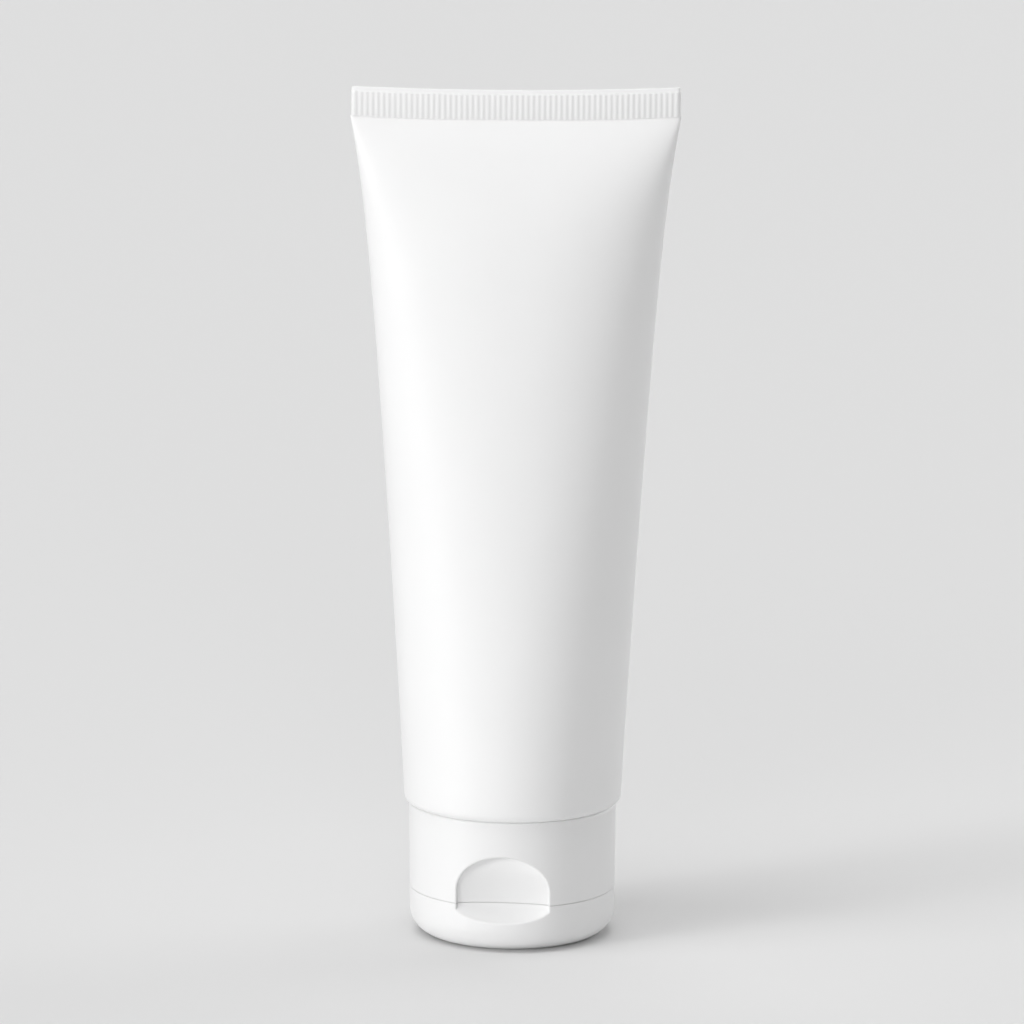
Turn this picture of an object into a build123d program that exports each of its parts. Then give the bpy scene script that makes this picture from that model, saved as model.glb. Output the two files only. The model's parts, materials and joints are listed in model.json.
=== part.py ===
from build123d import *
import math
import os

# Sleeve: round at the cap, pressed flat at the sealed end
SLEEVE_DIAMETER = 40.0
SLEEVE_WALL = 0.5
SLEEVE_LENGTH = 125.6
SIDE_SLOPE = 0.66
SIDE_CURVE = 0.19
FRONT_SLOPE = 0.62
FRONT_POWER = 1.35
FLARE_POWER = 10
CROWN_SHARE = 0.45
CROWN_POWER = 12
SECTION_COUNT = 13

# Seal: the ribbed flat end
SEAL_WIDTH = 60.3
SEAL_HEIGHT = 6.1
SEAL_THICKNESS = 0.9
SEAL_LEDGE = 0.2
SEAL_END_INSET = 0.1
SEAL_DIP = 0.4
SEAL_DIP_MARGIN = 0.6
SEAL_BOW = 1.2
BOW_MEAN = 1 / 3
BOW_POWER = 3
SEAL_RIM = 0.75
SEAL_RIM_STEP = 0.1
SEAL_FOLD_GAP = 1.5
RIB_PITCH = 1.01
RIB_HEIGHT = 0.15
RIB_MARGIN = 0.1

# Head: the rounded shoulder that the sleeve is welded to, and the neck inside the cap
SHOULDER_HEIGHT = 1.5
SHOULDER_EDGE_RADIUS = 1.3
SPIGOT_HEIGHT = 1.6
NECK_DIAMETER = 16.0
NECK_BORE = 10.0
SNAP_BEAD = 0.7
SNAP_BEAD_DROP = 7.0
FILLING_CLEARANCE = 0.1

# Cap: base and lid share one outer cone, snapped on a little out of line with the seal
CAP_SETBACK = 0.9
CAP_TURN = -6.0
CAP_HEIGHT = 24.8
CAP_DRAFT = 0.6
CAP_WALL = 1.6
CAP_EDGE_RADIUS = 0.5
SEAM_GAP = 0.04
PARTING_HEIGHT = 8.85
PARTING_GAP = 0.03
DECK_THICKNESS = 1.6
COLLAR_WALL = 1.2
PLATEAU_HEIGHT = 1.4
SPOUT_LENGTH = 2.4
SPOUT_ROOT_DIAMETER = 8.6
SPOUT_TIP_DIAMETER = 7.0
SPOUT_TIP_RADIUS = 0.5
ORIFICE_DIAMETER = 4.0
FIT = 0.15
LID_CLEARANCE = 0.3

# Lid: a shallow cup that the tube stands on
LID_PLATE = 1.5
LID_FOOT_RADIUS = 4.7
PLUG_CLEARANCE = 0.25
PLUG_DEPTH = 2.0
PLUG_TIP_RADIUS = 0.8

# Thumb notch: an arched scoop in the base that runs out on the lid
NOTCH_WIDTH = 16.8
NOTCH_SIDE_HEIGHT = 2.4
NOTCH_ARCH_HEIGHT = 6.9
NOTCH_DEPTH = 3.7
NOTCH_WALL = 1.2
NOTCH_EDGE_RADIUS = 0.3
NOTCH_EDGE_SHARES = (0.25, 0.5, 0.75)
NOTCH_EDGE_TOLERANCE = 0.025
SCOOP_REACH = 6.0
SCOOP_SPREAD = 15.0
SCOOP_BASE_RISE = 13.8
SCOOP_LID_DROP = 3.4

# Living hinge: a folded film in a flat at the back
HINGE_WIDTH = 9.0
HINGE_RECESS = 0.8
HINGE_RECESS_HEIGHT = 3.2
HINGE_LOOP_RADIUS = 0.64
HINGE_FILM = 0.35

SLEEVE_RADIUS = SLEEVE_DIAMETER / 2
CAP_RADIUS = SLEEVE_RADIUS - CAP_SETBACK
SLEEVE_BASE = CAP_HEIGHT + SHOULDER_HEIGHT
SPIGOT_TOP = SLEEVE_BASE + SPIGOT_HEIGHT
SEAL_BASE = SLEEVE_BASE + SLEEVE_LENGTH
SEAL_TOP = SEAL_BASE + SEAL_HEIGHT
SEAL_HALF = SEAL_WIDTH / 2
FLAT_HALF = SEAL_HALF - SEAL_END_INSET
CAVITY_TOP = SEAL_BASE - SEAL_FOLD_GAP
BASE_BOTTOM = PARTING_HEIGHT + PARTING_GAP / 2
LID_TOP = PARTING_HEIGHT - PARTING_GAP / 2
BASE_TOP = CAP_HEIGHT - SEAM_GAP
DECK_TOP = BASE_BOTTOM + DECK_THICKNESS
PLATEAU_BOTTOM = BASE_BOTTOM - PLATEAU_HEIGHT
SPOUT_BOTTOM = PLATEAU_BOTTOM - SPOUT_LENGTH
COLLAR_BORE = NECK_DIAMETER / 2 + SNAP_BEAD + FIT


def cap_radius(height):
    """Outer radius of the drafted cap at a height."""
    return CAP_RADIUS - (CAP_HEIGHT - height) * math.tan(math.radians(CAP_DRAFT))


def cap_cone(low, high, inset=0.0):
    """Solid slice of the cap's outer cone, moved in by a wall."""
    bottom = cap_radius(low) - inset
    top = cap_radius(high) - inset
    return Pos(0, 0, low) * Cone(bottom, top, high - low, align=(Align.CENTER, Align.CENTER, Align.MIN))


def upright(radius, low, high):
    """Upright cylinder between two heights."""
    return Pos(0, 0, low) * Cylinder(radius, high - low, align=(Align.CENTER, Align.CENTER, Align.MIN))


def bow_at(x, share):
    """How far the bowed middle line lies behind the XZ plane."""
    return share * SEAL_BOW * ((x / SEAL_HALF) ** 2 - BOW_MEAN)


def bowed_arc(points, share):
    """Arc through three points of a section, each moved by the bow."""
    return ThreePointArc(*[(x, y + bow_at(x, share)) for x, y in points])


def sleeve_section(height, inset):
    """Section of the sleeve: a circle at the shoulder, an oval of four tangent arcs above it."""
    level = (height - SLEEVE_BASE) / SLEEVE_LENGTH
    flare = level**FLARE_POWER
    widening = SIDE_SLOPE * level + SIDE_CURVE * level**2 + (1 - SIDE_SLOPE - SIDE_CURVE) * flare
    flattening = FRONT_SLOPE * level**FRONT_POWER + (1 - FRONT_SLOPE) * flare
    half_width = SLEEVE_RADIUS + (SEAL_HALF - SLEEVE_RADIUS) * widening - inset
    half_depth = SLEEVE_RADIUS - (SLEEVE_RADIUS - SEAL_THICKNESS / 2 - SEAL_LEDGE) * flattening - inset
    crown = CROWN_SHARE * (1 - level**CROWN_POWER) * half_depth / half_width
    side_radius = (half_depth - half_width * crown) / (1 - crown)
    touch_angle = math.pi / 2 - 2 * math.atan(crown)
    touch_x = half_width - side_radius + side_radius * math.cos(touch_angle)
    touch_y = side_radius * math.sin(touch_angle)
    share = level**BOW_POWER
    arcs = []
    for side in (-1, 1):
        broad = [(-touch_x, side * touch_y), (0, side * half_depth), (touch_x, side * touch_y)]
        narrow = [(side * touch_x, -touch_y), (side * half_width, 0), (side * touch_x, touch_y)]
        arcs += [bowed_arc(broad, share), bowed_arc(narrow, share)]
    return Pos(0, 0, height) * Face(Wire(arcs))


def sleeve_form(inset):
    """Solid form of the whole sleeve, moved in by a wall, with sections closer together at the ends."""
    sections = []
    for step in range(SECTION_COUNT):
        share = (1 - math.cos(math.pi * step / (SECTION_COUNT - 1))) / 2
        sections.append(sleeve_section(SLEEVE_BASE + SLEEVE_LENGTH * share, inset))
    return loft(sections)


def slab(low, high):
    """Level slab wider than the tube, to cut a form at two heights."""
    align = (Align.CENTER, Align.CENTER, Align.MIN)
    return Pos(0, 0, low) * Box(2 * SEAL_WIDTH, 2 * SEAL_WIDTH, high - low, align=align)


def lowest_edges(form):
    """The edges round a form's lowest face."""
    return form.faces().sort_by(Axis.Z)[0].edges()


def bowed_line(start, end, offset):
    """Arc along the bowed seal, moved to one side by an offset."""
    middle = (start + end) / 2
    return ThreePointArc(*[(x, bow_at(x, 1) + offset) for x in (start, middle, end)])


def ribbed_side(side):
    """One side of the seal: plain ends and a row of rounded ribs."""
    offset = side * SEAL_THICKNESS / 2
    rib_count = int((FLAT_HALF - RIB_MARGIN) * 2 / RIB_PITCH)
    first = -rib_count * RIB_PITCH / 2
    lines = [bowed_line(-FLAT_HALF, first, offset)]
    for rib in range(rib_count):
        start = first + rib * RIB_PITCH
        crest = start + RIB_PITCH / 2
        end = start + RIB_PITCH
        crest_y = bow_at(crest, 1) + offset + side * RIB_HEIGHT
        start_y = bow_at(start, 1) + offset
        lines.append(ThreePointArc((start, start_y), (crest, crest_y), (end, bow_at(end, 1) + offset)))
    lines.append(bowed_line(-first, FLAT_HALF, offset))
    return lines


def seal_ends(half_width, half_thickness):
    """The two short ends of the seal."""
    lines = []
    for x in (-half_width, half_width):
        y = bow_at(x, 1)
        lines.append(Line((x, y - half_thickness), (x, y + half_thickness)))
    return lines


def seal_dish(height):
    """Level cylinder that dips an edge of the seal between its corners, which stay at a height."""
    reach = FLAT_HALF - SEAL_DIP_MARGIN
    radius = (reach**2 + SEAL_DIP**2) / (2 * SEAL_DIP)
    return Pos(0, 0, height - SEAL_DIP + radius) * Rot(90, 0, 0) * Cylinder(radius, SEAL_WIDTH)


def ribbed_band():
    """The seal's ribbed part."""
    outline = ribbed_side(-1) + ribbed_side(1) + seal_ends(FLAT_HALF, SEAL_THICKNESS / 2)
    height = SEAL_HEIGHT - SEAL_RIM
    return extrude(Pos(0, 0, SEAL_BASE) * Face(Wire(outline)), height) - seal_dish(SEAL_BASE + height)


def plain_rim():
    """The smooth rim above the ribs, a little thinner than they are."""
    half_width = FLAT_HALF - SEAL_RIM_STEP
    half_thickness = SEAL_THICKNESS / 2 - SEAL_RIM_STEP
    outline = [bowed_line(-half_width, half_width, side * half_thickness) for side in (-1, 1)]
    outline += seal_ends(half_width, half_thickness)
    return extrude(Pos(0, 0, SEAL_BASE) * Face(Wire(outline)), SEAL_HEIGHT) - seal_dish(SEAL_TOP)


def make_sleeve():
    """Thin sleeve, open at the shoulder and closed by the ribbed seal."""
    inside = sleeve_form(SLEEVE_WALL) & slab(SLEEVE_BASE, CAVITY_TOP)
    return sleeve_form(0) + (ribbed_band() + plain_rim()) - inside


def make_head():
    """Rounded shoulder under the sleeve, a spigot inside it, and the neck with its snap bead."""
    shoulder = fillet(lowest_edges(upright(SLEEVE_RADIUS, CAP_HEIGHT, SLEEVE_BASE)), SHOULDER_EDGE_RADIUS)
    spigot = upright(SLEEVE_RADIUS - SLEEVE_WALL - FIT, SLEEVE_BASE, SPIGOT_TOP)
    neck = upright(NECK_DIAMETER / 2, DECK_TOP, SLEEVE_BASE)
    bead = Pos(0, 0, CAP_HEIGHT - SNAP_BEAD_DROP) * Torus(NECK_DIAMETER / 2, SNAP_BEAD)
    bore = upright(NECK_BORE / 2, DECK_TOP, SPIGOT_TOP)
    return shoulder + spigot + neck + bead - bore


def make_filling():
    """The scrub, just clear of the sleeve and head that hold it."""
    body = sleeve_form(SLEEVE_WALL + FILLING_CLEARANCE) & slab(SPIGOT_TOP, CAVITY_TOP - FILLING_CLEARANCE)
    plug = upright(NECK_BORE / 2 - FILLING_CLEARANCE, DECK_TOP, SPIGOT_TOP)
    return body + plug


def scoop(height, grow):
    """Ellipsoid level with the parting line that hollows the notch, larger by a wall where asked."""
    centre = NOTCH_DEPTH - cap_radius(PARTING_HEIGHT) - SCOOP_REACH
    form = scale(Sphere(1), by=(SCOOP_SPREAD + grow, SCOOP_REACH + grow, height + grow))
    return Pos(0, centre, PARTING_HEIGHT) * form


def base_scoop(grow):
    """The notch's hollow above the parting line."""
    return arch(grow) & scoop(SCOOP_BASE_RISE, grow)


def lid_scoop(grow):
    """The notch's run-out below the parting line."""
    return arch(grow) & scoop(SCOOP_LID_DROP, grow)


def arch(grow):
    """Upright arched prism that bounds the notch, from the axis forward."""
    half = NOTCH_WIDTH / 2 + grow
    sides = Pos(0, NOTCH_SIDE_HEIGHT / 2) * Rectangle(2 * half, NOTCH_SIDE_HEIGHT)
    top = Pos(0, NOTCH_SIDE_HEIGHT) * Ellipse(half, NOTCH_ARCH_HEIGHT + grow)
    below = Pos(0, -NOTCH_ARCH_HEIGHT / 2) * Rectangle(2 * half, NOTCH_ARCH_HEIGHT)
    outline = Plane.XZ * (sides + top + below)
    return Pos(0, 0, PARTING_HEIGHT) * extrude(outline, SLEEVE_DIAMETER)


def hinge_recess():
    """Flat-bottomed recess across the back of base and lid."""
    flat = cap_radius(PARTING_HEIGHT) - HINGE_RECESS
    size = (SLEEVE_DIAMETER, SLEEVE_DIAMETER, 2 * HINGE_RECESS_HEIGHT)
    return Pos(0, flat, PARTING_HEIGHT) * Box(*size, align=(Align.CENTER, Align.MIN, Align.CENTER))


def notch_rims(form):
    """Edges where the notch breaks through the cap's outer skin."""
    rims = []
    for edge in form.edges():
        points = [edge @ share for share in NOTCH_EDGE_SHARES]
        off_skin = max(abs(math.hypot(p.X, p.Y) - cap_radius(p.Z)) for p in points)
        heights = [(edge @ 0).Z, edge.center().Z, (edge @ 1).Z]
        tall = max(heights) - min(heights) > NOTCH_EDGE_RADIUS
        if off_skin < NOTCH_EDGE_TOLERANCE and tall and edge.center().Y < -NOTCH_WIDTH / 2:
            rims.append(edge)
    return rims


def make_base():
    """Outer skirt, deck with plateau and spout, neck collar, notch and hinge flat."""
    shell = cap_cone(BASE_BOTTOM, BASE_TOP)
    shell = fillet(shell.faces().sort_by(Axis.Z)[-1].edges(), CAP_EDGE_RADIUS)
    hollow = cap_cone(DECK_TOP, BASE_TOP, CAP_WALL)
    backing = base_scoop(NOTCH_WALL) & cap_cone(DECK_TOP, BASE_TOP, CAP_WALL / 2)
    lid_bore = cap_radius(LID_TOP) - CAP_WALL
    plateau = upright(lid_bore - LID_CLEARANCE, PLATEAU_BOTTOM, BASE_BOTTOM)
    plateau -= lid_scoop(NOTCH_WALL + 2 * LID_CLEARANCE)
    spout = Pos(0, 0, SPOUT_BOTTOM) * Cone(
        SPOUT_TIP_DIAMETER / 2,
        SPOUT_ROOT_DIAMETER / 2,
        SPOUT_LENGTH,
        align=(Align.CENTER, Align.CENTER, Align.MIN),
    )
    spout = fillet(lowest_edges(spout), SPOUT_TIP_RADIUS)
    collar = upright(COLLAR_BORE + COLLAR_WALL, DECK_TOP, BASE_TOP) - upright(COLLAR_BORE, DECK_TOP, BASE_TOP)
    catch_height = CAP_HEIGHT - SNAP_BEAD_DROP + 2 * SNAP_BEAD + FIT
    catch = Pos(0, 0, catch_height) * Torus(COLLAR_BORE, SNAP_BEAD)
    orifice = upright(ORIFICE_DIAMETER / 2, SPOUT_BOTTOM, DECK_TOP)
    base = shell - hollow + backing - base_scoop(0)
    base = fillet(notch_rims(base), NOTCH_EDGE_RADIUS)
    return base - hinge_recess() + plateau + spout + collar + catch - orifice


def make_lid():
    """Shallow cup with a rounded foot, the sealing plug, the notch's run-out and the hinge flat."""
    shell = fillet(lowest_edges(cap_cone(0, LID_TOP)), LID_FOOT_RADIUS)
    hollow = cap_cone(LID_PLATE, LID_TOP, CAP_WALL)
    hollow = fillet(lowest_edges(hollow), LID_FOOT_RADIUS - CAP_WALL)
    backing = lid_scoop(NOTCH_WALL) & cap_cone(LID_PLATE, LID_TOP, CAP_WALL / 2)
    plug = upright(ORIFICE_DIAMETER / 2 - PLUG_CLEARANCE, LID_PLATE, SPOUT_BOTTOM + PLUG_DEPTH)
    plug = fillet(plug.faces().sort_by(Axis.Z)[-1].edges(), PLUG_TIP_RADIUS)
    lid = shell - hollow + backing - lid_scoop(0)
    lid = fillet(notch_rims(lid), NOTCH_EDGE_RADIUS)
    return lid - hinge_recess() + plug


def make_hinge():
    """Film folded out in a half loop between the two hinge flats."""
    flat = cap_radius(PARTING_HEIGHT) - HINGE_RECESS
    outer = HINGE_LOOP_RADIUS + HINGE_FILM / 2
    inner = HINGE_LOOP_RADIUS - HINGE_FILM / 2
    ring = Circle(outer) - Circle(inner)
    tube = extrude(Plane.YZ * ring, HINGE_WIDTH / 2, both=True)
    behind = Box(HINGE_WIDTH, outer, 2 * outer, align=(Align.CENTER, Align.MIN, Align.CENTER))
    return Pos(0, flat, PARTING_HEIGHT) * (tube & behind)


os.makedirs("parts", exist_ok=True)
export_step(make_sleeve(), "parts/tube_sleeve.step")
export_step(make_head(), "parts/tube_head.step")
export_step(make_filling(), "parts/scrub_filling.step")
export_step(Rot(0, 0, CAP_TURN) * make_base(), "parts/cap_base.step")
export_step(Rot(0, 0, CAP_TURN) * make_lid(), "parts/cap_lid.step")
export_step(Rot(0, 0, CAP_TURN) * make_hinge(), "parts/living_hinge.step")
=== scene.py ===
import json
import math

import bpy
from mathutils import Matrix, Vector


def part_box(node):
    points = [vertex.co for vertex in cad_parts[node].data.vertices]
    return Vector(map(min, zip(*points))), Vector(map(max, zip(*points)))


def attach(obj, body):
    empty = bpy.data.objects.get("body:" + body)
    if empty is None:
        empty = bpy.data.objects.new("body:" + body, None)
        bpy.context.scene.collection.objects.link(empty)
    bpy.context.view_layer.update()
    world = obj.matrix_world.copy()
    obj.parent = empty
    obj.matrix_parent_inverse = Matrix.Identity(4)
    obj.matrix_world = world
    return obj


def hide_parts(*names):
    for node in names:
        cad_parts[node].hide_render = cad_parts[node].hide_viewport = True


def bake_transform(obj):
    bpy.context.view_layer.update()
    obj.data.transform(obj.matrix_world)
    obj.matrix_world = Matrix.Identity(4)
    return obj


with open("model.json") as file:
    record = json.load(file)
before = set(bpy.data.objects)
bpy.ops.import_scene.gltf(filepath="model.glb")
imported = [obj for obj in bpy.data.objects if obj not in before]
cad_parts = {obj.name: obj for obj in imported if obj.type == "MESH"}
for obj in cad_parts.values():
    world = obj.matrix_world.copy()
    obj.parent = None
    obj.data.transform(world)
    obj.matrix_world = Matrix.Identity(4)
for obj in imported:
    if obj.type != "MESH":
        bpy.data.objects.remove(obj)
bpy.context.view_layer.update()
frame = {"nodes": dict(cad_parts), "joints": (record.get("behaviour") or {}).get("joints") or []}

MM = 0.001
SEAM_GAP = 0.04 * MM

# Sizes taken from the frame
sleeve_low, sleeve_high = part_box("tube_sleeve")
head_low, head_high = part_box("tube_head")
SLEEVE_BASE = sleeve_low.z
SEAL_TOP = sleeve_high.z
SLEEVE_RADIUS = sleeve_high.y
SHOULDER_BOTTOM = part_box("cap_base")[1].z + SEAM_GAP
NECK_END = head_low.z
SPIGOT_TOP = head_high.z

# Seal: the ribbed flat end
SEAL_HEIGHT = 6.1 * MM
SEAL_BASE = SEAL_TOP - SEAL_HEIGHT
SEAL_HALF = 30.15 * MM
SEAL_HALF_THICKNESS = 0.45 * MM
SEAL_LEDGE = 0.2 * MM
LEDGE_RISE = 0.6 * MM
LEDGE_POWER = 4
RISE_START = 0.85
SEAL_END_INSET = 0.1 * MM
SEAL_DIP = 0.4 * MM
SEAL_DIP_MARGIN = 0.6 * MM
SEAL_BOW = 1.2 * MM
BOW_MEAN = 1 / 3
BOW_POWER = 3
SEAL_RIM = 0.75 * MM
SEAL_RIM_STEP = 0.1 * MM
SEAL_FOLD_GAP = 1.5 * MM
RIB_COUNT = 59
RIB_HEIGHT = 0.15 * MM

# Rounding of the seal's ledge, ribs and rim
# Each pair is a distance from the seal's foot or the ribs' top, and the ribs' share of their height there
LEDGE_TOP = 0.1 * MM
LEDGE_ROUND = 0.06 * MM
LEDGE_END_ROUND = 0.05 * MM
RIB_FOOT = 0.14 * MM
RIB_GROWTH = ((0.3 * MM, 0.6), (0.5 * MM, 1.0))
RIB_FADE = ((0.25 * MM, 1.0), (0.08 * MM, 0.7))
RIB_END_SHARE = 0.2
RIB_END_ROUND = 0.03 * MM
RIM_FOOT = 0.06 * MM
RIM_ROUND = 0.2 * MM
RIM_ROUND_MIDDLE = 0.06 * MM

# Sleeve: round at the shoulder, pressed flat at the seal
SLEEVE_LENGTH = SEAL_BASE - SLEEVE_BASE
SLEEVE_WALL = 0.5 * MM
SIDE_SLOPE = 0.66
SIDE_CURVE = 0.19
FRONT_SLOPE = 0.62
FRONT_POWER = 1.35
FLARE_POWER = 10
SQUARENESS = 0.5
END_SQUARENESS = 5.0
END_POWER = 20

# Head: shoulder and neck, welded to the sleeve
SHOULDER_RADIUS = 1.3 * MM
NECK_RADIUS = 8.0 * MM
NECK_BORE = 5.0 * MM
SPIGOT_FIT = 0.15 * MM

# Hinge film, folded out behind the cap
FILM_WIDTH = 9.0 * MM
FILM_LOOP = 0.64 * MM
FILM_THICKNESS = 0.35 * MM

# Mesh fineness
COLUMNS_PER_RIB = 4
MARGIN_COLUMNS = 1
HALF_COLUMNS = RIB_COUNT * COLUMNS_PER_RIB + 2 * MARGIN_COLUMNS
FINE_STEPS = 600
SLEEVE_ROWS = 64
CAVITY_ROWS = 20
FILLET_ROWS = 6
FILM_COLUMNS = 18
FILM_STEPS = 24

# Plastic: clouding, uneven gloss and grain
CLOUD_SCALE, CLOUD_DETAIL = 60.0, 3.0
GLOSS_SCALE, GLOSS_DETAIL = 220.0, 4.0
GRAIN_DETAIL = 2.0
GRAIN_STRENGTH = 0.25
PLASTIC_IOR = 1.5

# Studio: floor, background and fill light
FLOOR_HALF = 6.0
FLOOR_GREY = (0.776, 0.776, 0.776, 1)
FLOOR_ROUGHNESS = 0.9
BACKGROUND_GREY = (0.738, 0.738, 0.738, 1)
FILL_STRENGTH = 0.02

# Camera: the photograph's viewing angle
CAMERA_DISTANCE = 2.0
CAMERA_HEIGHT = 0.5118
CAMERA_PITCH = 12.205
CAMERA_ROLL = 0.28
CAMERA_SHIFT = (-0.0019, -0.0014)
CAMERA_LENS = 392.0
CAMERA_SENSOR = 36.0
CAMERA_CLIP = 50.0

# Hinge line and place of the film, from the frame's joint
hinge = frame["joints"][0]
hinge_line = Vector(hinge["axis"])
hinge_out = Vector((0, 0, 1)).cross(hinge_line)
film_centre = Vector(hinge["pos_m"]) - hinge_out * FILM_LOOP * math.pi / 2


def bow_at(x, share):
    """How far the bowed middle line lies behind the XZ plane."""
    return share * SEAL_BOW * ((x / SEAL_HALF) ** 2 - BOW_MEAN)


def corner_rise(x):
    """How far the foot of the seal rises toward its corners."""
    return LEDGE_RISE * (x / SEAL_HALF) ** LEDGE_POWER


class Section:
    """Outline of the sleeve at a height: a circle at the shoulder, a squarer oval above it."""

    def __init__(self, height, inset=0.0):
        level = (height - SLEEVE_BASE) / SLEEVE_LENGTH
        flare = level**FLARE_POWER
        widening = SIDE_SLOPE * level + SIDE_CURVE * level**2 + (1 - SIDE_SLOPE - SIDE_CURVE) * flare
        flattening = FRONT_SLOPE * level**FRONT_POWER + (1 - FRONT_SLOPE) * flare
        flat = SEAL_HALF_THICKNESS + SEAL_LEDGE
        self.half_width = SLEEVE_RADIUS + (SEAL_HALF - SLEEVE_RADIUS) * widening - inset
        self.half_depth = SLEEVE_RADIUS - (SLEEVE_RADIUS - flat) * flattening - inset
        self.power = 2 / (2 + SQUARENESS * level**2 + END_SQUARENESS * level**END_POWER)
        self.bow = level**BOW_POWER
        self.rise = max((level - RISE_START) / (1 - RISE_START), 0.0) ** 2

    def at(self, angle):
        """Point at an angle, from the left end at 0 over the front to the right end at pi."""
        x = -math.copysign(abs(math.cos(angle)) ** self.power, math.cos(angle)) * self.half_width
        return x, math.sin(angle) ** self.power * self.half_depth

    def half_row(self):
        """Points evenly spaced along the half outline: x and the distance from the middle line."""
        fine = [self.at(math.pi * step / FINE_STEPS) for step in range(FINE_STEPS + 1)]
        lengths = [0.0]
        for before, after in zip(fine, fine[1:]):
            lengths.append(lengths[-1] + math.dist(before, after))
        points, step = [], 0
        for column in range(HALF_COLUMNS + 1):
            along = lengths[-1] * column / HALF_COLUMNS
            while step < FINE_STEPS - 1 and lengths[step + 1] < along:
                step += 1
            share = min((along - lengths[step]) / (lengths[step + 1] - lengths[step]), 1.0)
            x = fine[step][0] + share * (fine[step + 1][0] - fine[step][0])
            points.append((x, fine[step][1] + share * (fine[step + 1][1] - fine[step][1])))
        return points


def ring(radius, height):
    """Row of points round the head."""
    row = []
    for column in range(2 * HALF_COLUMNS):
        angle = math.pi * (1 + column / HALF_COLUMNS)
        row.append(Vector((radius * math.cos(angle), radius * math.sin(angle), height)))
    return row


def sleeve_row(height, inset=0.0):
    """Row of points round the sleeve: along the front to the right, then back along the rear."""
    section = Section(height, inset)
    half = section.half_row()
    row = []
    for side, points in ((-1, half[:-1]), (1, half[:0:-1])):
        for x, y in points:
            z = height + section.rise * corner_rise(x)
            row.append(Vector((x, bow_at(x, section.bow) + side * y, z)))
    return row


def rib_wave(column):
    """Height of the ribs at a column, from 0 in a valley to 1 on a crest."""
    place = column - MARGIN_COLUMNS
    if place < 0 or place > RIB_COUNT * COLUMNS_PER_RIB:
        return 0.0
    return abs(math.sin(math.pi * place / COLUMNS_PER_RIB))


def seal_row(height, half_width, half_thickness, rib, top):
    """Row of points round the seal at a height above its foot.

    Ribs are raised by the share rib. The row follows the dipped top or the foot with its raised corners.
    """
    reach = SEAL_HALF - SEAL_END_INSET - SEAL_DIP_MARGIN
    row = []
    for side, columns in ((-1, range(HALF_COLUMNS)), (1, range(HALF_COLUMNS, 0, -1))):
        for column in columns:
            x = half_width * (2 * column / HALF_COLUMNS - 1)
            edge = 0.0 if column in (0, HALF_COLUMNS) else 1.0
            thickness = edge * (half_thickness + rib * RIB_HEIGHT * rib_wave(column))
            shift = -SEAL_DIP * max(1 - (x / reach) ** 2, 0.0) if top else corner_rise(x)
            row.append(Vector((x, bow_at(x, 1) + side * thickness, SEAL_BASE + height + shift)))
    return row


def cavity_rows():
    """Rows down the inside of the sleeve, the head's floor, the bore and the neck."""
    top = SEAL_BASE - SEAL_FOLD_GAP
    rows = []
    for step in range(CAVITY_ROWS):
        share = step / (CAVITY_ROWS - 1)
        rows.append(sleeve_row(top + (SPIGOT_TOP - top) * share, SLEEVE_WALL))
    rows.append(ring(SLEEVE_RADIUS - SLEEVE_WALL - SPIGOT_FIT, SPIGOT_TOP))
    rows.append(ring(NECK_BORE, SPIGOT_TOP))
    rows.append(ring(NECK_BORE, NECK_END))
    rows.append(ring(NECK_RADIUS, NECK_END))
    rows.append(ring(NECK_RADIUS, SHOULDER_BOTTOM))
    return rows


def shoulder_rows():
    """Rows round the shoulder's lower edge."""
    rows = []
    for step in range(FILLET_ROWS + 1):
        angle = math.pi / 2 * step / FILLET_ROWS
        radius = SLEEVE_RADIUS - SHOULDER_RADIUS * (1 - math.sin(angle))
        rows.append(ring(radius, SHOULDER_BOTTOM + SHOULDER_RADIUS * (1 - math.cos(angle))))
    return rows


def outer_rows():
    """Rows up the outside of the sleeve, closer together where it is pressed flat."""
    rows = []
    for step in range(SLEEVE_ROWS + 1):
        share = math.sin(math.pi / 2 * step / SLEEVE_ROWS)
        rows.append(sleeve_row(SLEEVE_BASE + SLEEVE_LENGTH * share))
    return rows


def seal_rows():
    """Rows up the seal: the ledge, the ribs, the smooth rim and its rounded top."""
    flat = SEAL_HALF - SEAL_END_INSET
    thick = SEAL_HALF_THICKNESS
    rib_top = SEAL_HEIGHT - SEAL_RIM
    rim = thick - SEAL_RIM_STEP
    rim_flat = flat - SEAL_RIM_STEP
    ledge = thick + SEAL_LEDGE - LEDGE_ROUND
    rows = [seal_row(LEDGE_TOP, SEAL_HALF - LEDGE_END_ROUND, ledge, 0.0, False)]
    rows.append(seal_row(RIB_FOOT, flat, thick, 0.0, False))
    for rise, share in RIB_GROWTH:
        rows.append(seal_row(rise, flat, thick, share, False))
    for drop, share in RIB_FADE:
        rows.append(seal_row(rib_top - drop, flat, thick, share, True))
    rows.append(seal_row(rib_top, flat - RIB_END_ROUND, thick - RIB_END_ROUND, RIB_END_SHARE, True))
    rows.append(seal_row(rib_top + RIM_FOOT, rim_flat, rim, 0.0, True))
    for drop, inset in ((RIM_ROUND, 0.0), (RIM_ROUND_MIDDLE, RIM_ROUND_MIDDLE), (0.0, RIM_ROUND)):
        rows.append(seal_row(SEAL_HEIGHT - drop, rim_flat - inset, rim - inset, 0.0, True))
    return rows


def close_row(first, flip):
    """Faces across a flattened row, from its front to its rear."""
    faces = []
    total = 2 * HALF_COLUMNS
    for column in range(HALF_COLUMNS):
        corners = [column, column + 1, (total - column - 1) % total, (total - column) % total]
        corners = [first + corner for corner in dict.fromkeys(corners)]
        faces.append(corners[::-1] if flip else corners)
    return faces


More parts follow.
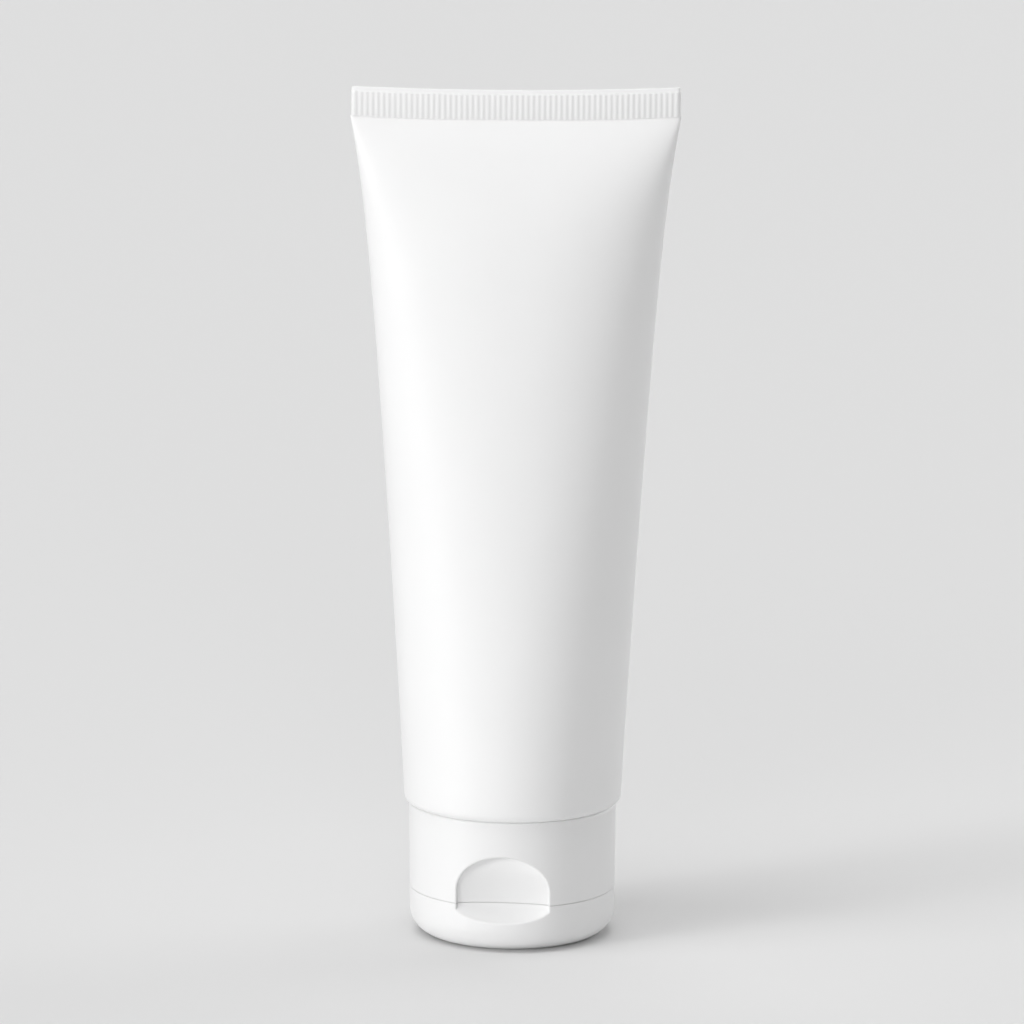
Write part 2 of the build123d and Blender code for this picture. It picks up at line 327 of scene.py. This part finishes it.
def make_tube():
    """Sleeve, seal and head as one welded piece."""
    rows = cavity_rows() + shoulder_rows() + outer_rows() + seal_rows()
    total = 2 * HALF_COLUMNS
    points = [point for row in rows for point in row]
    faces = close_row(0, True)
    for row in range(len(rows) - 1):
        for column in range(total):
            after = (column + 1) % total
            low, high = row * total, (row + 1) * total
            faces.append([low + column, low + after, high + after, high + column])
    faces += close_row((len(rows) - 1) * total, False)
    return new_piece("tube_skin", points, faces)


def new_piece(name, points, faces):
    """Smooth mesh object from points and faces."""
    mesh = bpy.data.meshes.new(name)
    mesh.from_pydata([tuple(point) for point in points], [], faces)
    mesh.validate()
    mesh.shade_smooth()
    piece = bpy.data.objects.new(name, mesh)
    bpy.context.collection.objects.link(piece)
    return piece


def make_film():
    """Closed strip of film that follows the half loop between the two hinge flats."""
    points, faces = [], []
    across = 2 * (FILM_COLUMNS + 1)
    places = [FILM_WIDTH * (column / FILM_COLUMNS - 0.5) for column in range(FILM_COLUMNS + 1)]
    for step in range(FILM_STEPS + 1):
        angle = math.pi * (0.5 - step / FILM_STEPS)
        out = hinge_out * math.cos(angle) + Vector((0, 0, math.sin(angle)))
        outer = film_centre + out * (FILM_LOOP + FILM_THICKNESS / 2)
        inner = film_centre + out * (FILM_LOOP - FILM_THICKNESS / 2)
        points += [outer + hinge_line * place for place in places]
        points += [inner + hinge_line * place for place in reversed(places)]
    for step in range(FILM_STEPS):
        for column in range(across):
            after = (column + 1) % across
            near, far = step * across, (step + 1) * across
            faces.append([near + column, far + column, far + after, near + after])
    faces.append(list(range(across)))
    faces.append([FILM_STEPS * across + column for column in reversed(range(across))])
    return new_piece("hinge_film", points, faces)


def noise(nodes, links, scale, detail):
    """Noise over the piece's own coordinates."""
    coordinates = nodes.new("ShaderNodeTexCoord")
    texture = nodes.new("ShaderNodeTexNoise")
    texture.inputs["Scale"].default_value = scale
    texture.inputs["Detail"].default_value = detail
    links.new(coordinates.outputs["Object"], texture.inputs["Vector"])
    return texture.outputs["Fac"]


def satin_plastic(name, pale, shade, smooth, rough, grain, depth, softness):
    """Moulded white plastic: faint clouding, uneven gloss, a fine grain and softened edges."""
    material = bpy.data.materials.new(name)
    material.use_nodes = True
    nodes, links = material.node_tree.nodes, material.node_tree.links
    shader = nodes["Principled BSDF"]
    clouds = noise(nodes, links, CLOUD_SCALE, CLOUD_DETAIL)
    tint = nodes.new("ShaderNodeMix")
    tint.data_type = "RGBA"
    tint.inputs["A"].default_value = (*shade, 1)
    tint.inputs["B"].default_value = (*pale, 1)
    links.new(clouds, tint.inputs["Factor"])
    links.new(tint.outputs["Result"], shader.inputs["Base Color"])
    gloss = nodes.new("ShaderNodeMapRange")
    gloss.inputs["To Min"].default_value = smooth
    gloss.inputs["To Max"].default_value = rough
    links.new(noise(nodes, links, GLOSS_SCALE, GLOSS_DETAIL), gloss.inputs["Value"])
    links.new(gloss.outputs["Result"], shader.inputs["Roughness"])
    bump = nodes.new("ShaderNodeBump")
    bump.inputs["Strength"].default_value = GRAIN_STRENGTH
    bump.inputs["Distance"].default_value = depth
    links.new(noise(nodes, links, grain, GRAIN_DETAIL), bump.inputs["Height"])
    links.new(bump.outputs["Normal"], shader.inputs["Normal"])
    edges = nodes.new("ShaderNodeBevel")
    edges.inputs["Radius"].default_value = softness
    links.new(edges.outputs["Normal"], bump.inputs["Normal"])
    shader.inputs["IOR"].default_value = PLASTIC_IOR
    return material


def dress(piece, material):
    """Give a piece its one material."""
    piece.data.materials.clear()
    piece.data.materials.append(material)


def make_floor():
    """Large pale floor."""
    half = FLOOR_HALF
    corners = [(-half, -half, 0), (half, -half, 0), (half, half, 0), (-half, half, 0)]
    floor = new_piece("floor", [Vector(corner) for corner in corners], [[0, 1, 2, 3]])
    material = bpy.data.materials.new("floor_paper")
    material.use_nodes = True
    shader = material.node_tree.nodes["Principled BSDF"]
    shader.inputs["Base Color"].default_value = FLOOR_GREY
    shader.inputs["Roughness"].default_value = FLOOR_ROUGHNESS
    shader.inputs["Specular IOR Level"].default_value = 0.0
    dress(floor, material)


def larger(nodes, links, first, second):
    """The larger of two values."""
    choice = nodes.new("ShaderNodeMath")
    choice.operation = "MAXIMUM"
    links.new(first, choice.inputs[0])
    links.new(second, choice.inputs[1])
    return choice.outputs[0]


def make_world():
    """Even fill light, with the pale background behind it for the camera and for reflections."""
    world = bpy.data.worlds.new("studio")
    bpy.context.scene.world = world
    world.use_nodes = True
    nodes, links = world.node_tree.nodes, world.node_tree.links
    nodes.clear()
    output = nodes.new("ShaderNodeOutputWorld")
    fill = nodes.new("ShaderNodeBackground")
    fill.inputs["Color"].default_value = (1, 1, 1, 1)
    fill.inputs["Strength"].default_value = FILL_STRENGTH
    shown = nodes.new("ShaderNodeBackground")
    shown.inputs["Color"].default_value = BACKGROUND_GREY
    shown.inputs["Strength"].default_value = 1.0
    path = nodes.new("ShaderNodeLightPath")
    mirrored = larger(nodes, links, path.outputs["Is Glossy Ray"], path.outputs["Is Transmission Ray"])
    seen = larger(nodes, links, path.outputs["Is Camera Ray"], mirrored)
    mix = nodes.new("ShaderNodeMixShader")
    links.new(seen, mix.inputs["Fac"])
    links.new(fill.outputs[0], mix.inputs[1])
    links.new(shown.outputs[0], mix.inputs[2])
    links.new(mix.outputs[0], output.inputs["Surface"])


def sun(name, azimuth, elevation, strength, spread):
    """Soft far lamp, with angles in degrees: azimuth 0 is in front of the part and 90 on its right."""
    lamp = bpy.data.lights.new(name, "SUN")
    lamp.energy = strength
    lamp.angle = math.radians(spread)
    turn, lift = math.radians(azimuth), math.radians(elevation)
    toward = Vector((math.sin(turn) * math.cos(lift), -math.cos(turn) * math.cos(lift), math.sin(lift)))
    holder = bpy.data.objects.new(name, lamp)
    holder.rotation_mode = "QUATERNION"
    holder.rotation_quaternion = toward.to_track_quat("Z", "Y")
    bpy.context.collection.objects.link(holder)


def make_camera():
    """Camera at the photograph's viewing angle."""
    camera = bpy.data.cameras.new("camera")
    camera.lens = CAMERA_LENS
    camera.sensor_width = CAMERA_SENSOR
    camera.shift_x, camera.shift_y = CAMERA_SHIFT
    camera.clip_end = CAMERA_CLIP
    holder = bpy.data.objects.new("camera", camera)
    place = Matrix.Translation((0, -CAMERA_DISTANCE, CAMERA_HEIGHT))
    aim = Matrix.Rotation(math.radians(90 - CAMERA_PITCH), 4, "X")
    roll = Matrix.Rotation(math.radians(CAMERA_ROLL), 4, "Z")
    holder.matrix_world = place @ aim @ roll
    bpy.context.collection.objects.link(holder)
    bpy.context.scene.camera = holder


sleeve_film = satin_plastic(
    "sleeve_film",
    pale=(0.9, 0.9, 0.9),
    shade=(0.87, 0.87, 0.87),
    smooth=0.42,
    rough=0.5,
    grain=2600.0,
    depth=0.02 * MM,
    softness=0.25 * MM,
)
cap_plastic = satin_plastic(
    "cap_plastic",
    pale=(0.89, 0.89, 0.89),
    shade=(0.865, 0.865, 0.865),
    smooth=0.36,
    rough=0.46,
    grain=3400.0,
    depth=0.015 * MM,
    softness=0.3 * MM,
)
scrub_cream = satin_plastic(
    "scrub_cream",
    pale=(0.8, 0.82, 0.76),
    shade=(0.62, 0.66, 0.58),
    smooth=0.3,
    rough=0.6,
    grain=1400.0,
    depth=0.2 * MM,
    softness=0.1 * MM,
)

tube = make_tube()
dress(tube, sleeve_film)
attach(tube, "tube")
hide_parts("tube_sleeve", "tube_head")

film = make_film()
dress(film, cap_plastic)
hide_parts("living_hinge")
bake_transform(film)

for node, material in (("cap_base", cap_plastic), ("cap_lid", cap_plastic), ("scrub_filling", scrub_cream)):
    dress(frame["nodes"][node], material)

make_floor()
make_world()
make_camera()
sun("key", azimuth=-60.0, elevation=7.0, strength=1.26, spread=14.0)
sun("key_high", azimuth=-60.0, elevation=60.0, strength=0.7, spread=30.0)
sun("front", azimuth=-10.0, elevation=15.0, strength=0.84, spread=45.0)
sun("right", azimuth=100.0, elevation=15.0, strength=0.24, spread=45.0)
sun("back", azimuth=130.0, elevation=20.0, strength=0.85, spread=45.0)
sun("back_high", azimuth=180.0, elevation=45.0, strength=0.42, spread=45.0)
sun("top", azimuth=0.0, elevation=88.0, strength=1.28, spread=45.0)
bpy.context.scene.view_settings.view_transform = "Standard"
